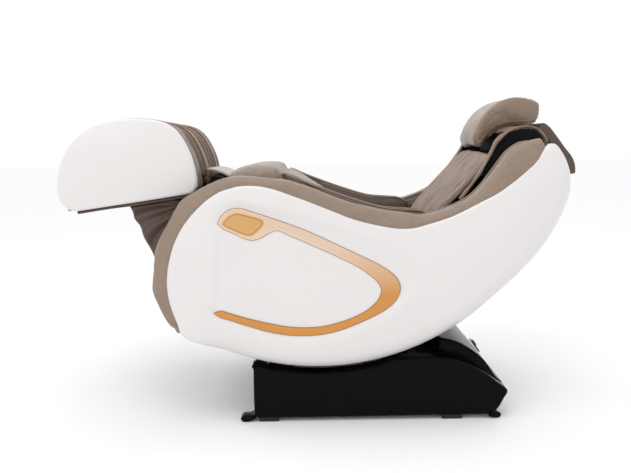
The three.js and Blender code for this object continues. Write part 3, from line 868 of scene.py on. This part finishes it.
def badge():
    """The blank raised plate at the band's upper end."""
    mesh = slab(BADGE, [(0.0, 0.0), (-0.0007, 0.0), (-0.001, 0.0004)], 0.008)
    for vertex in mesh.verts:
        vertex.co.y -= face_depth(Vector((vertex.co.x, vertex.co.z))) + 0.0021
    return mesh


BADGE = anticlockwise(curve_through(
    flat(
        (-0.292, 0.614), (-0.283, 0.632), (-0.262, 0.645), (-0.240, 0.646), (-0.186, 0.630),
        (-0.174, 0.620), (-0.180, 0.604), (-0.205, 0.582), (-0.226, 0.580), (-0.270, 0.599),
    ), True, 0.004,
)[::-1])
pair("trim_lines", trim_lines(), "gold_line", "tub")
pair("trim_badge", badge(), "gold_badge", "tub")

ROLL_OUTLINE = [
    p + Vector((0.02, 0.004)) * ease((p.x - 0.56) / 0.05)
    for p in outline_of("armrest_roll_left", -0.297, 0.008)
]
ROLL_INNER, ROLL_OUTER = 0.266, 0.328


def roll_ready(piece):
    wrinkled(wrinkled(subdivide(piece), 0.003, 14, (1, 0.5, 1)), 0.0009, 55)


pair(
    "roll",
    slab(ROLL_OUTLINE, edge_levels(-ROLL_INNER, -ROLL_OUTER, 0.02, 0.024, 7, 0.008, 0.02),
         0.009, 0.005, 0.03),
    "roll_leather", "tub", ["armrest_roll"],
    roll_ready,
)

simple("tub_rear", "rear_cover", 0.0, "white_shell", "tub", "white_shell", corner=60)
simple("tub_underside", "bottom_cover", 0.0, "white_shell", "tub", "white_shell", corner=60)

# A welt runs along the top inner edge of each roll.
ROLL_TOP = chain(ROLL_OUTLINE, lambda p: not inside(SHELL_OUTLINE, p) and p.y > 0.42)
welt = at_y(inset(ROLL_TOP, 0.003, step=1), -0.2645)[4:-4]
seams("roll_welts", mirrored([welt]), 0.003, "roll_leather", "tub")

tub_front = simple("tub_front", "front_panel", 0.0, "dark_leather", "tub", "dark_leather",
                   0.004, 0.004, corner=60)
wrinkled(subdivide(tub_front), 0.006, 9, (1, 0.6, 1))

# Leg rest ------------------------------------------------------------------------------------

CALF = outline_of("calf_cover_left", -0.232, 0.006, 26)
cover_levels = edge_levels(-0.2216, -0.2400, 0.001, 0.008, 6, 0.006)
pair("leg_cover", slab(CALF, cover_levels, 0.01, 0.005, 0.09), "white_shell", "leg_rest",
     ["calf_cover"])


def wall_ready(piece):
    return wrinkled(subdivide(piece), 0.003, 16)


WALL = outline_of("calf_wall_left", -0.187, 0.008)
wall_levels = edge_levels(-0.1522, -0.2208, 0.02, 0.016, 6, 0.01, 0.012)
pair("leg_wall", slab(WALL, wall_levels, 0.01, 0.004, 0.05), "brown_leather", "leg_rest",
     ["calf_wall"], wall_ready)
middle = simple("leg_wall_centre", "calf_wall_centre", 0.0, "brown_leather", "leg_rest",
                "brown_leather", 0.018, 0.018, depth=0.012, cap_step=0.01)
wall_ready(middle)

# Painted shade: a thin dark cord round each leg cover's inner edge stands for the shade on the
# cover's turned-away rim.
rim = at_y(inset(CALF, 0.0005), -0.2218)
seams("leg_cover_rim_shade", [rim, [Vector((p.x, -p.y, p.z)) for p in rim]], 0.0016, "dark_leather",
      "leg_rest", True)

floor_pad = simple("leg_floor", "calf_floor", 0.1, "dark_leather", "leg_rest", "dark_leather",
                   0.004, 0.004, corner=20)
wrinkled(subdivide(floor_pad), 0.003, 12)
underneath = simple("leg_underside", "calf_bottom_panel", 0.0, "dark_leather", "leg_rest",
                    "dark_leather", 0.003, 0.003, corner=20)
wrinkled(subdivide(underneath), 0.002, 12)

calf_top = chain(inset(WALL, 0.0005), lambda p: p.y > 0.70)
calf_rims = [at_y(calf_top, y) for y in (-0.2135, -0.1605)]
centre_rims = [at_y(calf_top, y) for y in (-0.0385, 0.0385)]
seams("leg_welts", mirrored(calf_rims) + centre_rims, 0.0026, "tan_leather", "leg_rest")

# Seat ----------------------------------------------------------------------------------------

seat = simple("seat_pad", "seat_cushion", 0.0, "tan_leather", "tub", "tan_leather",
              0.03, 0.03, depth=0.02, cap_step=0.015)
displaced(seat, lambda place, normal: Vector((-0.012, 0, 0.004)) * ease((-0.08 - place.x) / 0.03))
plump(seat, 0.006)
wrinkled(seat, 0.002, 18, (1, 0.4, 1))

knee = simple("knee_pad", "knee_cushion", 0.0, "tan_leather", "tub", "tan_leather",
              0.03, 0.03, depth=0.014, cap_step=0.012)
displaced(knee, lambda place, normal: Vector((0.012, 0, 0)) * ease((place.x + 0.17) / 0.04))
plump(knee, 0.005, voxel=0.005)
wrinkled(knee, 0.002, 20, (1, 0.5, 1))


# The welt where the knee pad meets the seat pad.
seams("seat_welt", [[Vector((-0.1185, y * 0.01, 0.7495)) for y in range(-21, 22)]], 0.0035,
      "brown_leather", "tub")


def hip_ready(piece):
    plump(piece, 0.004)
    wrinkled(piece, 0.0015, 18)


# Painted shade: the hip pads take the dark leather because their inner walls stand in shadow.
HIP = outline_of("hip_pad_left", -0.235, 0.008)
hip_levels = edge_levels(-0.2085, -0.2615, 0.012, 0.012, 5, 0.01, 0.01)
pair("hip_side", slab(HIP, hip_levels, 0.012, 0.003, 0.04), "dark_leather", "tub",
     ["hip_pad"], hip_ready)
hip_normals = normals_of(HIP)
hip_top = chain(HIP, lambda p: hip_normals[HIP.index(p)].y > 0.35)
hip_lines = [at_y(hip_top, y) for y in (-0.214, -0.256)]
seams("hip_welts", mirrored(hip_lines), 0.0028, "brown_leather", "tub")

tongue = simple("knee_strap", "knee_tongue", 0.0, "strap_leather", "tub", "tan_leather",
                0.0025, 0.0025, corner=50, cap_step=0.006)
wrinkled(subdivide(tongue), 0.0015, 30)

bellows = simple("knee_gaiter", "knee_bellows", 0.0, "black_fabric", "tub", "black_fabric",
                 0.004, 0.004, cap_step=0.008)
bellows.modifiers.new("remesh", "REMESH").voxel_size = 0.004
apply_modifiers(bellows)
wrinkled(bellows, 0.005, 55, (1, 0.3, 1))
wrinkled(subdivide(bellows), 0.002, 120, (1, 0.5, 1))

# Back ----------------------------------------------------------------------------------------

BACK_ANGLE = math.radians(46)
UP_BACK = Vector((math.cos(BACK_ANGLE), 0, math.sin(BACK_ANGLE)))
OFF_BACK = Vector((-math.sin(BACK_ANGLE), 0, math.cos(BACK_ANGLE)))

pad = make("back_rest", shape_of("back_pad"), "pleated_leather", "tub", ["back_pad"])
plump(pad, 0.005, voxel=0.005)


PLEAT = 0.0085
PAD_STRETCH = 0.03  # the pad's top runs on under the pillow


def pleats(place, normal):
    """Narrow lengthwise pleats, on the side that faces the sitter only."""
    along = place.dot(UP_BACK)
    drift = noise.noise(Vector((place.y * 25, along * 5, 0))) * 0.8
    ridge = math.sin((place.y / PLEAT + drift) * 2 * math.pi)
    fade = ease((normal.dot(OFF_BACK) - 0.3) / 0.4)
    stretch = UP_BACK * PAD_STRETCH * ease((along - 0.72) / 0.18)
    return normal * 0.0014 * ridge * fade + stretch


displaced(subdivide(pad) if len(pad.data.polygons) < 45000 else pad, pleats)

recess = make("back_mesh", shape_of("back_panel"), "black_fabric", "tub",
              ["back_panel"])
recess.modifiers.new("remesh", "REMESH").voxel_size = 0.006
apply_modifiers(recess)
wrinkled(recess, 0.002, 25)

hood = make("back_hood", shape_of("back_cover"), "brown_leather", "tub",
            ["back_cover"])
hood.modifiers.new("remesh", "REMESH").voxel_size = 0.0035
apply_modifiers(hood)
hood.modifiers.new("relax", "SMOOTH").iterations = 2
apply_modifiers(hood)
wrinkled(hood, 0.004, 22, (1, 0.7, 1))

# Black lining partitions at the hood's sides.
LINING = anticlockwise(curve_through(
    flat(
        (0.474, 0.735), (0.500, 0.790), (0.520, 0.828), (0.538, 0.846), (0.560, 0.862),
        (0.582, 0.870), (0.607, 0.871), (0.631, 0.866), (0.648, 0.851), (0.658, 0.832),
        (0.652, 0.805), (0.610, 0.765), (0.530, 0.735),
    ), True, 0.008,
))
pair("back_lining", slab(LINING, [(-0.2055, 0.0), (-0.2075, 0.0)], 0.012), "black_fabric", "tub",
     (), lambda piece: wrinkled(piece, 0.003, 30))

# A black curtain closes the hood's front, under the pillow.
CURTAIN = anticlockwise(flat((0.552, 0.866), (0.578, 0.806), (0.582, 0.806), (0.556, 0.868)))
curtain = slab(CURTAIN, [(-0.204, 0.0), (0.204, 0.0)], 0.02)
make("back_curtain", curtain, "black_fabric", "tub")

PILLOW = outline_of("headrest_pillow", 0.0, 0.006, 38)
SEAM_Y = 0.091
PILLOW_MIDDLE = Vector((0.57, 0.89))
pillow = simple("head_pillow", "headrest_pillow", 0.0, "pillow_leather", "headrest",
                "tan_leather", 0.016, 0.016, depth=0.009, crown=0.007, corner=38, step=0.006)
plump(pillow, 0.008, voxel=0.0045)
pillow_seam = inset(PILLOW, 0.004)
SEAM_AWAY = distance_to(pillow_seam)


def puckers(place, normal):
    """The side panel's seam draws the leather in, with short puckers across it."""
    beside = SEAM_AWAY(Vector((place.x, place.z)))
    off = math.hypot(beside, abs(abs(place.y) - SEAM_Y))
    groove = 0.0022 * math.exp(-((off / 0.004) ** 2))
    turn = math.atan2(place.z - PILLOW_MIDDLE.y, place.x - PILLOW_MIDDLE.x)
    pull = 0.0007 * math.sin(turn * 60 + 6 * noise.noise(place * 30))
    near = math.exp(-((off / 0.014) ** 2))
    return normal * (pull * near - groove + 0.0016 * noise.noise(place * 22))


displaced(pillow, puckers)
threads("pillow_stitches", mirrored([at_y(inset(PILLOW, 0.012), -0.0995)]), "headrest",
        0.007, 0.0005)

strap = simple("head_strap", "headrest_flap", 0.0, "dark_leather", "headrest", "dark_leather",
               0.006, 0.006, corner=60, cap_step=0.006)
wrinkled(subdivide(strap), 0.004, 14, (1, 0.6, 1))

# Gusset between the tub and the leg rest -----------------------------------------------------

GUSSET = outline_of("leg_gusset", 0.0, 0.008, 30)
GATHER = Vector((-0.405, 0, 0.668))


def creases(place, normal):
    """Folds that radiate from where the leather is gathered at the hinge."""
    arm = place - GATHER
    turn = math.atan2(arm.z, arm.x)
    reach = ease(arm.length / 0.12)
    wave = math.sin(turn * 17 + 2.2 * noise.noise(place * 9))
    depth = 0.005 * wave * reach + 0.003 * noise.noise(place * 22)
    return Vector((normal.x * 0.35, normal.y, normal.z * 0.35)) * depth


gusset_mesh = slab(GUSSET, edge_levels(-0.207, 0.207, 0.012, 0.012, 5, 0.012, 0.008), 0.008)
gusset = make("leg_bellows", gusset_mesh, "dark_leather", None, ["leg_gusset"])
displaced(subdivide(gusset), creases)
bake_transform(gusset)

# Base ----------------------------------------------------------------------------------------

BASE = outline_of("base_cover_left", -0.262, 0.005, 80)
base_levels = edge_levels(-0.2405, -0.2895, 0.0, 0.007, 6, 0.012)
pair("plinth_side", slab(BASE, base_levels, 0.012, open_start=True), "black_gloss", "base",
     ["base_cover"], lambda piece: hollow(piece, 0.0032))
simple("plinth_rear", "base_rear_hood", 0.0, "black_gloss", "base", "black_gloss", corner=30)
simple("plinth_front", "base_front_cover", 0.0, "black_gloss", "base", "black_gloss", corner=60)

# The hood's side cheeks close it down to the side covers.
HOOD_LINE = flat(
    (0.347, 0.237), (0.402, 0.222), (0.457, 0.188), (0.489, 0.156), (0.517, 0.113),
)
CHEEK = anticlockwise(
    curve_through(HOOD_LINE, False, 0.006) + flat((0.517, 0.08), (0.40, 0.15), (0.347, 0.17))
)
pair("plinth_cheek", slab(CHEEK, [(-0.2362, 0.0), (-0.2398, 0.0)], 0.02), "black_gloss",
     "base")

# CAD nodes that stay -------------------------------------------------------------------------

KEPT = {
    "painted_steel": ("seat_frame", "base_frame", "massage_arm", "leg_motor", "leg_hinge",
                      "actuator_housing"),
    "bright_steel": ("back_rail", "actuator_rod"),
    "grey_plastic": ("massage_carriage", "massage_ball", "air_pump", "control_box",
                     "power_inlet"),
    "rubber": ("swing_roller", "foot", "power_switch"),
    "black_gloss": ("seat_pan",),
}
for finish, stems in KEPT.items():
    for name, node in NODES.items():
        if name.startswith(stems):
            for place in node.material_slots:
                place.material = MATERIALS[finish]

# Camera, floor and light ---------------------------------------------------------------------


FLOOR_REACH = 30


def floor():
    mesh = bmesh.new()
    for x, y in ((-1, -1), (1, -1), (1, 1), (-1, 1)):
        x, y = x * FLOOR_REACH, y * FLOOR_REACH
        mesh.verts.new((x, y, 0))
    mesh.faces.new(mesh.verts)
    data = bpy.data.meshes.new("floor")
    mesh.to_mesh(data)
    mesh.free()
    ground = bpy.data.objects.new("floor", data)
    bpy.context.scene.collection.objects.link(ground)
    data.materials.append(Finish("floor", (0.97, 0.97, 0.97), 0.8).material)


def light(name, place, aim, size, power):
    data = bpy.data.lights.new(name, "AREA")
    data.shape = "RECTANGLE"
    data.size, data.size_y = size
    data.energy = power
    lamp = bpy.data.objects.new(name, data)
    lamp.location = place
    lamp.rotation_euler = (Vector(aim) - Vector(place)).to_track_quat("-Z", "Y").to_euler()
    bpy.context.scene.collection.objects.link(lamp)


floor()
light("key", (-0.6, -1.3, 3.2), (0.0, 0.0, 0.5), (2.2, 1.4), 20)
light("front", (-2.2, -3.2, 1.9), (0.0, 0.0, 0.5), (1.6, 1.2), 5)
light("rear", (-1.0, 2.6, 2.8), (0.0, 0.0, 0.6), (3.0, 1.5), 10)

sky = bpy.data.worlds.new("sky")
sky.use_nodes = True
sky.node_tree.nodes["Background"].inputs["Color"].default_value = (1, 1, 1, 1)
sky.node_tree.nodes["Background"].inputs["Strength"].default_value = 1.0
bpy.context.scene.world = sky

bpy.context.scene.view_settings.view_transform = "Standard"

lens = bpy.data.cameras.new("camera")
lens.lens = 34.63
lens.sensor_width = 36
camera = bpy.data.objects.new("camera", lens)
camera.location = (-0.028, -2.040, 0.825)
roll = Matrix.Rotation(math.radians(-0.9), 4, "Z")
camera.matrix_world = (
    Matrix.Translation(camera.location)
    @ Matrix.Rotation(math.radians(81.7), 4, "X")
    @ roll
)
bpy.context.scene.collection.objects.link(camera)
bpy.context.scene.camera = camera
